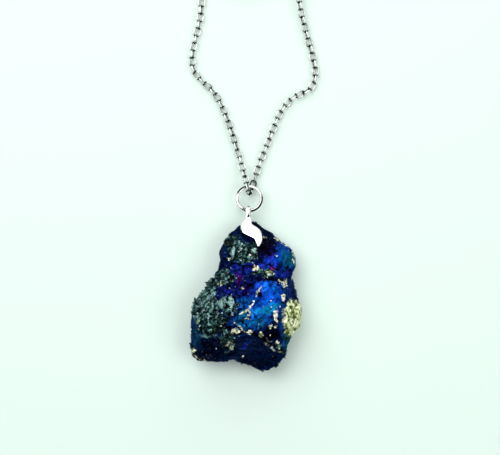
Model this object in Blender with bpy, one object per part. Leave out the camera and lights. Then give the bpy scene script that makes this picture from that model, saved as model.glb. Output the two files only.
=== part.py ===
"""Peacock ore pendant on its chain, lying on its back: a rough stone, a pinch bail, a jump ring and a chain.

Metres, +Z up. The origin is the middle of the flat spot on the stone's back, +Y runs towards the chain.
"""

import math

import bmesh
import bpy
import numpy as np
from mathutils import Matrix, Vector, noise

MM = 0.001
GAP = 0.3 * MM

# The photograph's scale on the object, and the pixel that lies over the origin.
PIXEL = 0.26 * MM
ORIGIN_PX = (245.3, 295.5)

# Stone: its outline as seen from the front, clockwise from the top, in photograph pixels.
STONE_OUTLINE_PX = (
    (253.4, 221.0), (266.2, 228.2), (274.0, 234.6), (282.8, 240.2), (289.6, 248.2), (294.0, 255.6),
    (294.2, 266.4), (290.9, 275.1), (290.7, 284.8), (295.2, 294.0), (300.4, 304.4), (302.0, 314.1),
    (300.4, 325.0), (295.0, 332.6), (288.3, 341.2), (285.2, 353.2), (280.4, 363.0), (267.9, 370.0),
    (249.4, 365.6), (232.1, 360.2), (212.5, 362.4), (201.7, 360.8), (190.8, 355.6), (188.7, 348.8),
    (190.2, 340.2), (190.2, 328.2), (190.6, 312.0), (195.9, 299.5), (207.4, 288.4), (208.2, 281.2),
    (213.4, 276.8), (219.1, 270.7), (220.6, 257.7), (218.0, 253.4), (220.2, 246.6), (230.8, 232.2),
    (245.0, 221.8),
)

# Faces of the stone's front: a pixel on the face, its height there in mm, and how fast it rises to +X and +Y.
FRONT_FACES = {
    "blue_face": (265.0, 300.0, 13.6, -0.10, -0.10),
    "purple_face": (240.0, 275.0, 12.2, 0.10, -0.42),
    "bail_land": (252.0, 236.0, 7.2, -0.02, -0.62),
    "shoulder": (280.0, 256.0, 9.4, -0.62, -0.30),
    "right_side": (288.0, 300.0, 11.0, -1.15, -0.05),
    "bottom_facet": (245.0, 332.0, 14.6, -0.05, 0.92),
    "lower_right": (276.0, 348.0, 12.0, -0.85, 0.60),
    "left_side": (204.0, 312.0, 12.6, 1.05, -0.10),
    "lower_left": (206.0, 338.0, 11.8, 0.55, 0.45),
    "upper_left": (222.0, 268.0, 10.2, 0.80, -0.45),
}
FACE_BLEND = 0.45 * MM

# Lumps and hollows on the front: middle pixel, radius in mm, height in mm.
FRONT_LUMPS = {
    "crust_boss": (209.0, 308.0, 4.2, 1.3),
    "crust_shelf": (228.0, 318.0, 3.2, 0.9),
    "upper_crust": (236.0, 253.0, 3.4, 0.9),
    "pale_knob": (293.0, 316.0, 3.4, 3.4),
    "knob_notch": (283.5, 318.0, 1.2, -1.5),
    "blue_ledge": (262.0, 292.0, 3.0, 0.7),
    "vein_step": (250.0, 306.0, 1.4, -0.6),
    "middle_hollow": (244.0, 292.0, 2.4, -0.8),
    "vug": (270.0, 335.0, 1.8, -1.6),
    "shoulder_rise": (282.0, 256.0, 2.6, 0.8),
    "dark_hollow": (264.0, 256.0, 2.4, -0.9),
    "lower_ridge": (216.0, 343.0, 2.2, 0.8),
}

# Even faces, where the broken relief is low: middle pixel and half sizes in pixels.
EVEN_PATCHES_PX = (
    (265.0, 299.0, 18.0, 18.0),
    (245.0, 349.0, 34.0, 13.0),
    (281.0, 256.0, 12.0, 12.0),
)
EVEN_RELIEF = 0.45
RIM_RELIEF = 0.5
RIM_INSET = 0.25 * MM

# Rough crusts that are covered in grains: middle pixel and half sizes in pixels, front or back alike.
GRAIN_PATCHES_PX = (
    (212.0, 312.0, 22.0, 22.0),
    (216.0, 281.0, 16.0, 12.0),
    (238.0, 253.0, 17.0, 13.0),
    (293.0, 317.0, 10.0, 19.0),
)

# Smooth seat under the bail's leaves: middle pixel and half sizes in pixels.
BAIL_SEAT_PX = ((252.0, 233.0, 20.0, 27.0),)
PATCH_END = 1.15
PATCH_FALL = 1.6

RIM_HEIGHT = 6.2 * MM
TOP_RIM_HEIGHT = 3.5 * MM
BACK_HEIGHT = -0.9 * MM
BACK_RISE = 2.5 * MM
BACK_REACH = 10.0 * MM
TOP_START = 6.0 * MM
TOP_END = 19.4 * MM
EDGE_POWER = 3.0
SPHERE_CUTS = 6
STONE_DETAIL = 0.32
LUMP_SIZE = 7.0 * MM
LUMP_HEIGHT = 0.6 * MM
CHIP_SIZES = (5.0 * MM, 2.4 * MM)
CHIP_TILT = 0.36
CHIP_EDGE = 0.22
GRAIN_SIZE = 2.0 * MM
GRAIN_HEIGHT = 1.7 * MM
CUTTER_SIZE = 60 * MM

# Silver fittings: wires and sheet.
RING_CENTRE_PX = (249.3, 198.5)
RING_RADIUS = 3.16 * MM
RING_WIRE = 0.415 * MM
RING_SPLIT_ANGLE = math.radians(-116.0)
BAIL_SHEET = 0.45 * MM
BAIL_LIFT = 0.1 * MM
BAIL_EYE_HEIGHT = 3.6 * MM
BAIL_EYE_ROOM = 0.45 * MM
BAIL_PEG_PX = (258.0, 238.5)
BAIL_PEG_RADIUS = 0.3 * MM
BAIL_PEG_LENGTH = 2.2 * MM
BAIL_EYE_STEPS = 8
ROD_SIDES = 12

# The leaf of the bail, from its neck down to its tip: pixel row, left edge, right edge.
BAIL_LEAF_PX = (
    (217.5, 246.0, 250.6), (220.5, 243.8, 251.3), (224.0, 241.2, 252.1), (227.0, 240.6, 256.4),
    (230.0, 241.2, 260.0), (233.0, 243.0, 261.6), (235.8, 248.4, 262.1), (238.6, 254.0, 262.2),
    (243.0, 256.0, 261.4), (246.4, 257.6, 259.2),
)

# Chain: links 1.8 mm wide, 450 mm from end to end, with what the photograph doesn't show wound in a coil.
CHAIN_WIDTH = 1.8 * MM
CHAIN_LIFT = 0.1 * MM
CHAIN_ROOM = 0.36 * MM
COIL_CENTRE = (1.2 * MM, 92.6 * MM)
COIL_RADIUS = 12.5 * MM
COIL_PITCH = 1.9 * MM
COIL_TURNS = 2.45
COIL_STEPS = 32
CLASP_LENGTH = 8.6 * MM
CLASP_WIDTH = 4.4 * MM
CLASP_WIRE = 0.6 * MM
CLASP_TAPER = 0.28
CLASP_STEPS = 24
CLASP_SIDES = 8
CLASP_LIFT = 1.1 * MM
CLASP_RAISED_END = 0.42 * MM
CLASP_RING_RADIUS = 1.8 * MM
CLASP_RING_WIRE = 0.25 * MM

# The chain's route: pixel and height of its middle in mm, from the coil's left side down to the ring.
LEFT_STRAND = (
    (201.8, -32.5, 1.0), (201.6, -6.0, 1.0), (199.5, 18.0, 1.0), (195.0, 38.0, 1.0), (191.8, 55.0, 1.0),
    (193.5, 69.0, 1.0), (201.4, 79.6, 1.0), (207.6, 85.3, 1.0), (212.8, 90.6, 1.0), (217.7, 97.8, 1.0),
    (222.6, 107.6, 1.0), (228.0, 121.4, 1.0), (232.4, 134.2, 1.0), (236.4, 147.0, 1.0), (240.2, 159.0, 1.2),
    (243.2, 171.0, 2.3), (245.4, 179.0, 3.6),
)
# From the ring up to the coil's right side.
RIGHT_STRAND = (
    (254.6, 179.6, 1.0), (256.8, 172.0, 1.0), (259.6, 163.2, 1.0), (264.0, 151.6, 1.0), (269.0, 139.4, 1.0),
    (273.6, 127.6, 1.0), (278.2, 116.4, 1.0), (283.2, 107.6, 1.0), (288.6, 100.8, 1.0), (295.2, 95.4, 1.0),
    (302.6, 92.2, 1.0), (309.6, 88.0, 1.0), (314.2, 81.0, 1.0), (315.6, 70.0, 1.0), (312.8, 54.0, 1.0),
    (307.4, 34.0, 1.2), (301.6, 12.0, 1.8), (298.6, -10.0, 2.5), (298.0, -32.5, 2.8),
)
WRAP_LEFT_PX = 247.4
WRAP_RIGHT_PX = 252.4
WRAP_STEPS = 5
SPAN_STEPS = 2


def on_table(px, py):
    """The place under a pixel of the photograph, in metres."""
    return (px - ORIGIN_PX[0]) * PIXEL, (ORIGIN_PX[1] - py) * PIXEL


def new_material(name, colour, metallic, roughness):
    material = bpy.data.materials.new(name)
    material.use_nodes = True
    shader = material.node_tree.nodes["Principled BSDF"]
    shader.inputs["Base Color"].default_value = (*colour, 1.0)
    shader.inputs["Metallic"].default_value = metallic
    shader.inputs["Roughness"].default_value = roughness
    return material


def new_object(name, mesh_or_curve, material=None):
    obj = bpy.data.objects.new(name, mesh_or_curve)
    bpy.context.scene.collection.objects.link(obj)
    if material:
        obj.data.materials.append(material)
    return obj


def mesh_object(name, bm, material=None, sharp_angle=math.radians(35)):
    """Turn a bmesh into an object with its faces pointing out, shaded smooth between edges over an angle."""
    bmesh.ops.recalc_face_normals(bm, faces=bm.faces)
    mesh = bpy.data.meshes.new(name)
    bm.to_mesh(mesh)
    bm.free()
    mesh.shade_smooth()
    mesh.set_sharp_from_angle(angle=sharp_angle)
    return new_object(name, mesh, material)


def upright_rod(x, y, z, radius, length):
    """A closed round rod along Z with its middle at a place."""
    bm = bmesh.new()
    bmesh.ops.create_cone(bm, cap_ends=True, segments=ROD_SIDES, radius1=radius, radius2=radius, depth=length)
    bmesh.ops.translate(bm, vec=(x, y, z), verts=bm.verts)
    return bm


def cut_with(obj, cutter, operation="DIFFERENCE"):
    cutter.hide_render = True
    cutter.display_type = "WIRE"
    boolean = obj.modifiers.new(cutter.name, "BOOLEAN")
    boolean.operation = operation
    boolean.solver = "EXACT"
    boolean.object = cutter


def smooth_curve(points, steps):
    """Catmull-Rom curve through the points, with a number of steps in each span."""
    points = [Vector(point) for point in points]
    ends = [2 * points[0] - points[1], *points, 2 * points[-1] - points[-2]]
    curve = []
    for before, start, end, after in zip(ends, ends[1:], ends[2:], ends[3:]):
        for step in range(steps):
            t = step / steps
            bend = 2 * before - 5 * start + 4 * end - after
            turn = 3 * (start - end) + after - before
            curve.append(start + 0.5 * t * ((end - before) + t * (bend + t * turn)))
    return curve + [points[-1]]


def outline_radius(angles):
    """Distance from the origin to the stone's outline at each angle, in metres."""
    points = [on_table(*pixel) for pixel in STONE_OUTLINE_PX]
    bearings = sorted((math.atan2(y, x), math.hypot(x, y)) for x, y in points)
    return np.interp(angles, [b[0] for b in bearings], [b[1] for b in bearings], period=2 * math.pi)


def smooth_minimum(heights, blend):
    return -blend * math.log(sum(math.exp(-height / blend) for height in heights))


def front_height(x, y):
    """Height of the stone's front: the lowest of its faces at each place, with lumps and hollows."""
    heights = []
    for px, py, height, slope_x, slope_y in FRONT_FACES.values():
        face_x, face_y = on_table(px, py)
        heights.append(height * MM + slope_x * (x - face_x) + slope_y * (y - face_y))
    top = smooth_minimum(heights, FACE_BLEND)
    for px, py, radius, height in FRONT_LUMPS.values():
        lump_x, lump_y = on_table(px, py)
        reach = math.hypot(x - lump_x, y - lump_y) / (radius * MM)
        top += height * MM * math.exp(-reach * reach)
    return top


def top_share(y):
    """How far up the stone's narrow top end a place is, from 0 to 1."""
    return min(max((y - TOP_START) / (TOP_END - TOP_START), 0.0), 1.0)


def back_height(x, y):
    """Height of the stone's back: lowest in the middle, where it rests, and raised around that."""
    reach = min(math.hypot(x, y) / BACK_REACH, 1.0)
    return BACK_HEIGHT + BACK_RISE * reach * reach


def patch_share(x, y, patches):
    """How far a place is inside one of the patches, from 0 to 1."""
    share = 0.0
    for px, py, half_width, half_height in patches:
        patch_x, patch_y = on_table(px, py)
        reach = math.hypot((x - patch_x) / (half_width * PIXEL), (y - patch_y) / (half_height * PIXEL))
        share = max(share, min(max(PATCH_FALL * (PATCH_END - reach), 0.0), 1.0))
    return share


def chip(place, size):
    """Height of a broken face: each cell of the stone is a small plane with a tilt of its own."""
    distances, middles = noise.voronoi(place / size)
    tilt = 2 * noise.cell_vector(middles[0] * 7) - Vector((1, 1, 1))
    to_edge = min((distances[1] - distances[0]) / CHIP_EDGE, 1.0)
    return CHIP_TILT * size * to_edge * (place / size - middles[0]).dot(tilt)


def relief(place):
    """How far the rough surface stands out at a place: broad lumps, broken faces and crust grains."""
    lumps = LUMP_HEIGHT * noise.noise(place / LUMP_SIZE)
    chips = sum(chip(place, size) for size in CHIP_SIZES)
    grains = patch_share(place.x, place.y, GRAIN_PATCHES_PX)
    even = patch_share(place.x, place.y, EVEN_PATCHES_PX)
    chips *= 1 - (1 - EVEN_RELIEF) * even
    cell = noise.voronoi(place / GRAIN_SIZE)[0][0]
    rough = lumps + (1 - grains) * chips + grains * GRAIN_HEIGHT * (0.55 - cell)
    return rough * (1 - patch_share(place.x, place.y, BAIL_SEAT_PX))


def stone_mesh():
    """A ball pulled out to the stone's outline, front and back, and roughened along its normals.

    The rim is set in a little, so that its highest relief reaches the outline.
    """
    bm = bmesh.new()
    bmesh.ops.create_icosphere(bm, subdivisions=SPHERE_CUTS, radius=1.0)
    from_rim = [abs(vert.co.z) for vert in bm.verts]
    for vert, up in zip(bm.verts, from_rim):
        across = math.hypot(vert.co.x, vert.co.y)
        swell = (across ** EDGE_POWER + up ** EDGE_POWER) ** (-1 / EDGE_POWER)
        angle = math.atan2(vert.co.y, vert.co.x)
        radius = swell * across * float(outline_radius(angle))
        x = radius * math.cos(angle)
        y = radius * math.sin(angle)
        rim = RIM_HEIGHT + (TOP_RIM_HEIGHT - RIM_HEIGHT) * top_share(y)
        face = front_height(x, y) if vert.co.z > 0 else back_height(x, y)
        vert.co = (x, y, rim + (face - rim) * swell * up)
    bm.normal_update()
    for vert, up in zip(bm.verts, from_rim):
        share = RIM_RELIEF + (1 - RIM_RELIEF) * up
        vert.co += vert.normal * (share * relief(vert.co) - RIM_INSET * (1 - up))
    return bm


def make_stone(material):
    """The rough stone, cut flat where it rests and drilled through for the bail's pegs."""
    stone = mesh_object("stone", stone_mesh(), material, sharp_angle=0)
    detail = stone.modifiers.new("facets", "DECIMATE")
    detail.ratio = STONE_DETAIL

    table = bmesh.new()
    bmesh.ops.create_cube(table, size=1.0)
    bmesh.ops.scale(table, vec=(CUTTER_SIZE, CUTTER_SIZE, CUTTER_SIZE), verts=table.verts)
    bmesh.ops.translate(table, vec=(0, 0, -CUTTER_SIZE / 2), verts=table.verts)
    cut_with(stone, mesh_object("rest_cutter", table))

    drill = upright_rod(*on_table(*BAIL_PEG_PX), 0, BAIL_PEG_RADIUS + GAP, CUTTER_SIZE)
    cut_with(stone, mesh_object("peg_cutter", drill))


def ring_heights():
    """Height of the jump ring's wire in the bail's eye, and where it lies on the chain."""
    on_chain = RIGHT_STRAND[0][2] * MM + CHAIN_WIDTH / 2 + CHAIN_ROOM + RING_WIRE
    return BAIL_EYE_HEIGHT, on_chain


def wire_ring(radius, wire, sides, steps, split_angle, split):
    """A ring of round wire about Z whose ends almost meet at one place."""
    bm = bmesh.new()
    bmesh.ops.create_circle(bm, cap_ends=True, segments=sides, radius=wire)
    stand_up = Matrix.Rotation(math.radians(90), 4, "X")
    bmesh.ops.transform(bm, matrix=Matrix.Translation((radius, 0, 0)) @ stand_up, verts=bm.verts)
    opening = split / radius
    turn = Matrix.Rotation(split_angle + opening / 2, 4, "Z")
    bmesh.ops.transform(bm, matrix=turn, verts=bm.verts)
    bmesh.ops.spin(
        bm, geom=bm.verts[:] + bm.edges[:] + bm.faces[:], cent=(0, 0, 0), axis=(0, 0, 1),
        angle=2 * math.pi - opening, steps=steps,
    )
    return bm


def make_jump_ring(material):
    bm = wire_ring(RING_RADIUS, RING_WIRE, sides=8, steps=30, split_angle=RING_SPLIT_ANGLE, split=0.1 * MM)
    in_bail, on_chain = ring_heights()
    tilt = math.asin((on_chain - in_bail) / (2 * RING_RADIUS))
    centre = Vector((*on_table(*RING_CENTRE_PX), (in_bail + on_chain) / 2))
    ring = mesh_object("jump_ring", bm, material, sharp_angle=math.radians(60))
    ring.location = centre
    ring.rotation_euler = (tilt, 0, 0)


def bail_path():
    """The bail's sheet seen from the side, from the front leaf's tip over the ring to the back leaf's tip.

    Each station has its place along Y, its height, and the left and right edge of the sheet.
    """
    in_bail, _ = ring_heights()
    eye_y = on_table(*RING_CENTRE_PX)[1] - RING_RADIUS
    bend = RING_WIRE + BAIL_EYE_ROOM + BAIL_SHEET / 2
    leaf = []
    for row, left, right in BAIL_LEAF_PX:
        x_left, y = on_table(left, row)
        x_right, _ = on_table(right, row)
        leaf.append((y, x_left, x_right))
    middle = (leaf[0][1] + leaf[0][2]) / 2
    half_neck = (leaf[0][2] - leaf[0][1]) / 2
    neck_y = leaf[0][0]
    tip_y = leaf[-1][0]

    land_x, land_y, land, _, land_slope = FRONT_FACES["bail_land"]
    land_y = on_table(land_x, land_y)[1]
    front_tip = land * MM + land_slope * (tip_y - land_y) + BAIL_LIFT
    back_tip = CHAIN_LIFT + BAIL_SHEET
    front_neck = in_bail + bend
    back_neck = in_bail - bend

    def leaf_height(y, neck, tip):
        share = (y - neck_y) / (tip_y - neck_y)
        return neck + (tip - neck) * share

    stations = [(y, leaf_height(y, front_neck, front_tip), l, r) for y, l, r in reversed(leaf)]
    for step in range(BAIL_EYE_STEPS + 1):
        turn = math.radians(90 - 180 * step / BAIL_EYE_STEPS)
        y = eye_y + bend * math.cos(turn)
        z = in_bail + bend * math.sin(turn)
        stations.append((y, z, middle - half_neck, middle + half_neck))
    stations += [(y, leaf_height(y, back_neck, back_tip), l, r) for y, l, r in leaf]
    return stations


def make_bail(material):
    """A strip of sheet bent over the ring, with a leaf on the front and on the back and a peg in each."""
    stations = bail_path()
    line = [Vector((0, y, z)) for y, z, _, _ in stations]
    bm = bmesh.new()
    rows = []
    for index, (_, _, left, right) in enumerate(stations):
        before = line[max(index - 1, 0)]
        after = line[min(index + 1, len(line) - 1)]
        along = (after - before).normalized()
        out = Vector((0, -along.z, along.y)) * BAIL_SHEET / 2
        corners = [(left, -1), (right, -1), (right, 1), (left, 1)]
        rows.append([bm.verts.new(line[index] + side * out + Vector((x, 0, 0))) for x, side in corners])
    for row, following in zip(rows, rows[1:]):
        for corner in range(4):
            following_corner = (corner + 1) % 4
            bm.faces.new((row[corner], row[following_corner], following[following_corner], following[corner]))
    bm.faces.new(rows[0])
    bm.faces.new(rows[-1])
    bail = mesh_object("bail", bm, material)

    peg_x, peg_y = on_table(*BAIL_PEG_PX)
    leaves = (stations[:len(BAIL_LEAF_PX)], stations[-len(BAIL_LEAF_PX):])
    for side, leaf, into in (("front", leaves[0], -1), ("back", leaves[1], 1)):
        ordered = sorted((y, z) for y, z, _, _ in leaf)
        height = float(np.interp(peg_y, [y for y, _ in ordered], [z for _, z in ordered]))
        peg = upright_rod(peg_x, peg_y, height + into * BAIL_PEG_LENGTH / 2, BAIL_PEG_RADIUS, BAIL_PEG_LENGTH)
        cut_with(bail, mesh_object(f"{side}_peg", peg), "UNION")


def chain_route():
    """The chain's middle line from the coil's left side, through the jump ring, to the coil's right side."""
    _, on_chain = ring_heights()
    wire_y = on_table(*RING_CENTRE_PX)[1] + RING_RADIUS
    clear = CHAIN_WIDTH / 2 + CHAIN_ROOM + RING_WIRE
    start_x, _ = on_table(WRAP_LEFT_PX, 0)
    end_x, _ = on_table(WRAP_RIGHT_PX, 0)
    route = [(*on_table(px, py), height * MM) for px, py, height in LEFT_STRAND]
    for step in range(WRAP_STEPS + 1):
        share = step / WRAP_STEPS
        turn = math.radians(90 - 180 * share)
        x = start_x + (end_x - start_x) * share
        route.append((x, wire_y - clear * math.cos(turn), on_chain + clear * math.sin(turn)))
    route += [(*on_table(px, py), height * MM) for px, py, height in RIGHT_STRAND]
    return route


def make_chain_strands(material):
    points = smooth_curve(chain_route(), SPAN_STEPS)
    curve = bpy.data.curves.new("chain_strands", "CURVE")
    curve.dimensions = "3D"
    curve.bevel_depth = CHAIN_WIDTH / 2
    curve.bevel_resolution = 2
    curve.use_fill_caps = True
    spline = curve.splines.new("POLY")
    spline.points.add(len(points) - 1)
    for target, point in zip(spline.points, points):
        target.co = (*point, 1.0)
    new_object("chain_strands", curve, material)


def make_chain_coil(material):
    """The wound part of the chain as one turned ring, two layers of turns high."""
    outer = COIL_RADIUS + CHAIN_WIDTH / 2
    inner = COIL_RADIUS - COIL_TURNS * COIL_PITCH - CHAIN_WIDTH / 2
    top = 2 * CHAIN_WIDTH + 2 * CHAIN_LIFT
    edge = CHAIN_WIDTH / 4
    profile = (
        (outer - edge, 0), (outer, edge), (outer, top - edge), (outer - edge, top),
        (inner + edge, top), (inner, top - edge), (inner, edge), (inner + edge, 0),
    )
    bm = bmesh.new()
    verts = [bm.verts.new((radius, 0, height)) for radius, height in profile]
    edges = [bm.edges.new((verts[i], verts[(i + 1) % len(verts)])) for i in range(len(verts))]
    bmesh.ops.spin(
        bm, geom=verts + edges, cent=(0, 0, 0), axis=(0, 0, 1),
        angle=2 * math.pi, steps=COIL_STEPS, use_merge=True,
    )
    coil = mesh_object("chain_coil", bm, material)
    coil.location = (*COIL_CENTRE, 0)


def make_clasp(material):
    """The closed lobster clasp as one bent oval of metal, narrow at its tail."""
    half_width = CLASP_WIDTH / 2 - CLASP_WIRE
    half_length = CLASP_LENGTH / 2 - CLASP_WIRE
    bm = bmesh.new()
    rows = []
    for step in range(CLASP_STEPS):
        turn = 2 * math.pi * step / CLASP_STEPS
        radial = Vector((math.cos(turn) * (1 - CLASP_TAPER * math.sin(turn)), math.sin(turn), 0))
        centre = Vector((radial.x * half_width, radial.y * half_length, 0))
        row = []
        for side in range(CLASP_SIDES):
            around = 2 * math.pi * side / CLASP_SIDES
            out = radial.normalized() * math.cos(around) + Vector((0, 0, math.sin(around)))
            row.append(bm.verts.new(centre + CLASP_WIRE * out))
        rows.append(row)
    for row, following in zip(rows, rows[1:] + rows[:1]):
        for side in range(CLASP_SIDES):
            beside = (side + 1) % CLASP_SIDES
            bm.faces.new((row[side], row[beside], following[beside], following[side]))
    clasp = mesh_object("clasp", bm, material, sharp_angle=math.radians(60))
    clasp.location = (COIL_CENTRE[0], COIL_CENTRE[1] - CLASP_RING_RADIUS / 2, CLASP_LIFT)
    clasp.rotation_euler = (math.asin(CLASP_RAISED_END / half_length), 0, 0)


def make_clasp_ring(material):
    """The small ring that the clasp closes on, round the clasp's raised end."""
    bm = wire_ring(CLASP_RING_RADIUS, CLASP_RING_WIRE, sides=6, steps=16, split_angle=0, split=0.1 * MM)
    ring = mesh_object("clasp_ring", bm, material, sharp_angle=math.radians(60))
    clasp_end = COIL_CENTRE[1] - CLASP_RING_RADIUS / 2 + CLASP_LENGTH / 2 - CLASP_WIRE
    ring.location = (COIL_CENTRE[0], clasp_end, CLASP_RING_RADIUS + CLASP_RING_WIRE + CHAIN_LIFT)
    ring.rotation_euler = (math.radians(90), 0, math.radians(90))


def main():
    for obj in list(bpy.data.objects):
        bpy.data.objects.remove(obj, do_unlink=True)
    ore = new_material("peacock_ore", (0.05, 0.09, 0.28), metallic=0.6, roughness=0.4)
    silver = new_material("silver", (0.86, 0.87, 0.88), metallic=1.0, roughness=0.15)
    make_stone(ore)
    make_bail(silver)
    make_jump_ring(silver)
    make_chain_strands(silver)
    make_chain_coil(silver)
    make_clasp(silver)
    make_clasp_ring(silver)


main()
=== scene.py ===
"""Looks of the peacock ore pendant: rough stone, silver pinch bail and ring, cable chain with its clasp.

Metres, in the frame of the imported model: the stone lies on its back on z = 0, seen from above.
"""

import math

import bmesh
import bpy
import numpy as np
from mathutils import Matrix, Quaternion, Vector, noise
from mathutils.bvhtree import BVHTree


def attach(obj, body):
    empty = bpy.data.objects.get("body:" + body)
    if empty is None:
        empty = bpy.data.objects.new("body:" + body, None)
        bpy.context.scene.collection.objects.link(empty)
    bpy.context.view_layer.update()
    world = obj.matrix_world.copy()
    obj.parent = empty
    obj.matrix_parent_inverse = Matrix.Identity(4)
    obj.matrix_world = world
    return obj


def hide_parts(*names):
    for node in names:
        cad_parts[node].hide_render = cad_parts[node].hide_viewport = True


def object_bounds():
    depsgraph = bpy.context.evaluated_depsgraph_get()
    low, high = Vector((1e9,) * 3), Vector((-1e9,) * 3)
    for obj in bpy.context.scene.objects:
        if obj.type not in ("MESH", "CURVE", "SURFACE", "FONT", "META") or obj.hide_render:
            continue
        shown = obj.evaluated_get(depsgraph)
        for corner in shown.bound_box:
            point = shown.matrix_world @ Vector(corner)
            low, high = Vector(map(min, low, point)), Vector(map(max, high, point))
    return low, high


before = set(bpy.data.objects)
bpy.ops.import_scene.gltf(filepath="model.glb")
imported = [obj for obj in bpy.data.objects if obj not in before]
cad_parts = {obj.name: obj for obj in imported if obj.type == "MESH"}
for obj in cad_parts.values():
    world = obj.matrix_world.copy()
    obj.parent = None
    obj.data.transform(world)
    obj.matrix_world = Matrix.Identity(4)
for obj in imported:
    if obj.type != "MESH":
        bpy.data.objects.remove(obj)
cad_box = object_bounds()

MM = 0.001

# The photograph's frame, its scale on the object, and the pixel over the origin.
PHOTO_WIDTH = 500
PHOTO_HEIGHT = 455
PIXEL = 0.26 * MM
ORIGIN_PX = (245.3, 295.5)
CAMERA_HEIGHT = 560 * MM
FOCUS_HEIGHT = 5 * MM
SENSOR = 36.0

# Lamps that face the origin: size, power and place.
LAMPS = {
    "key": ((0.44, 0.44), 1.85, (-0.2, 0.24, 0.44)),
    "fill": ((0.4, 0.3), 0.8, (0.32, -0.06, 0.42)),
    "card": ((0.9, 0.34), 1.4, (0.0, 0.55, 0.27)),
}
# The sky's grey, from straight below to straight overhead.
SKY_STOPS = ((0.0, 0.02), (0.5, 0.03), (0.78, 0.8), (1.0, 1.0))
SKY_STRENGTH = 0.8
FLOOR_REACH = 0.6
FLOOR_COLOUR = (0.74, 0.88, 0.81, 1.0)

# Chain: the same route as the CAD solids, as pixel and height of its middle in mm.
CHAIN_WIDTH = 1.8 * MM
CHAIN_ROOM = 0.36 * MM
COIL_CENTRE = (1.2 * MM, 92.6 * MM)
COIL_RADIUS = 12.5 * MM
COIL_PITCH = 1.9 * MM
COIL_STEPS = 24
# The coil's layers: start angle, way round, turns, turns of the tail towards the middle, the radius where
# the tail ends, and the heights of the layer and of the tail's end.
LEFT_COIL = (math.pi, -1, 2.45, 0.30, 5.2 * MM, 1.0 * MM, 1.0 * MM)
RIGHT_COIL = (0.0, 1, 2.0, 0.25, 4.9 * MM, 2.8 * MM, 2.2 * MM)
LEFT_STRAND = (
    (201.8, -32.5, 1), (201.6, -6, 1), (199.5, 18, 1), (195, 38, 1), (191.8, 55, 1),
    (193.5, 69, 1), (201.4, 79.6, 1), (207.6, 85.3, 1), (212.8, 90.6, 1), (217.7, 97.8, 1),
    (222.6, 107.6, 1), (228, 121.4, 1), (232.4, 134.2, 1), (236.4, 147, 1), (240.2, 159, 1.2),
    (243.2, 171, 2.3), (245.4, 179, 3.6),
)
RIGHT_STRAND = (
    (254.6, 179.6, 1), (256.8, 172, 1), (259.6, 163.2, 1), (264, 151.6, 1), (269, 139.4, 1),
    (273.6, 127.6, 1), (278.2, 116.4, 1), (283.2, 107.6, 1), (288.6, 100.8, 1), (295.2, 95.4, 1),
    (302.6, 92.2, 1), (309.6, 88, 1), (314.2, 81, 1), (315.6, 70, 1), (312.8, 54, 1),
    (307.4, 34, 1.2), (301.6, 12, 1.8), (298.6, -10, 2.5), (298, -32.5, 2.8),
)
WRAP_LEFT_PX = 247.4
WRAP_RIGHT_PX = 252.4
WRAP_STEPS = 5
ROUTE_STEPS = 8
LINK_LENGTH = 2.76 * MM
LINK_WIDTH = 1.96 * MM
LINK_WIRE = 0.2 * MM
LINK_PITCH = LINK_LENGTH - 4 * LINK_WIRE
LINK_STEPS = 18
LINK_SIDES = 8
LINK_SQUARENESS = 0.85
# The chain counts as upright where the level part of its direction is shorter than this.
UPRIGHT = 0.2
# Each link's roll about the chain and its random part, in degrees.
LINK_ROLL = 12.0
LINK_ROLL_SPREAD = 14.0
# Painted shade and dark reflection on a link, at its ends where links meet and along its inner side: where
# towards its ends it starts, how fast it grows, and how far it reaches round the wire there and elsewhere.
LINK_END_START = 0.45
LINK_END_GROWTH = 5
LINK_END_ROUND = 1.75
LINK_SIDE_ROUND = -0.1
CHAIN_SEED = 7

# Jump ring and bail: the same sizes as the CAD solids.
RING_CENTRE_PX = (249.3, 198.5)
RING_RADIUS = 3.16 * MM
RING_WIRE = 0.415 * MM
RING_SPLIT_ANGLE = math.radians(-116.0)
RING_SPLIT = 0.14 * MM
RING_ROWS = 144
RING_SIDES = 16
# Painted shade on the links by the ring: how far from it none is left, and how near they are all dark.
RING_SHADE_REACH = (3.4 * MM, 1.6 * MM)
# Painted dark reflections on the ring: from one angle to another in degrees, and how far out on the wire
# they start. They fade over some degrees outside and inside each end and over a softness across; the painted
# shade at the split fades away from it.
RING_DARK_REFLECTIONS = ((-90.0, 12.0, -0.15), (98.0, 158.0, -0.3))
RING_REFLECTION_FADE = (12, 8)
RING_REFLECTION_SOFTNESS = 0.15
RING_SPLIT_SHADE = (0.15, 0.06)
BAIL_SHEET = 0.45 * MM
BAIL_EYE_HEIGHT = 3.6 * MM
BAIL_EYE_ROOM = 0.45 * MM
BAIL_BACK_TIP = 0.55 * MM
BAIL_FRONT_TIP = 9.0 * MM
BAIL_PEG_PX = (258.0, 238.5)
BAIL_PEG_RADIUS = 0.3 * MM
BAIL_PEG_LENGTH = 2.2 * MM
BAIL_HOLE_PX = (248.3, 216.0)
BAIL_HOLE_RADII = (0.22 * MM, 0.34 * MM)
BAIL_DRILL_REACH = 2.5 * MM
BAIL_LEAF_STEPS = 5
BAIL_BEND_STEPS = 24
BAIL_SIDES = 16
BAIL_ROUNDNESS = (0.5, 0.6)
BAIL_LEAF_PX = (
    (217.5, 246, 250.6), (220.5, 243.8, 251.3), (224, 241.2, 252.1), (227, 240.6, 256.4),
    (230, 241.2, 260), (233, 243, 261.6), (235.8, 248.4, 262.1), (238.6, 254, 262.2),
    (243, 256, 261.4), (246.4, 257.6, 259.2),
)

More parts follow.
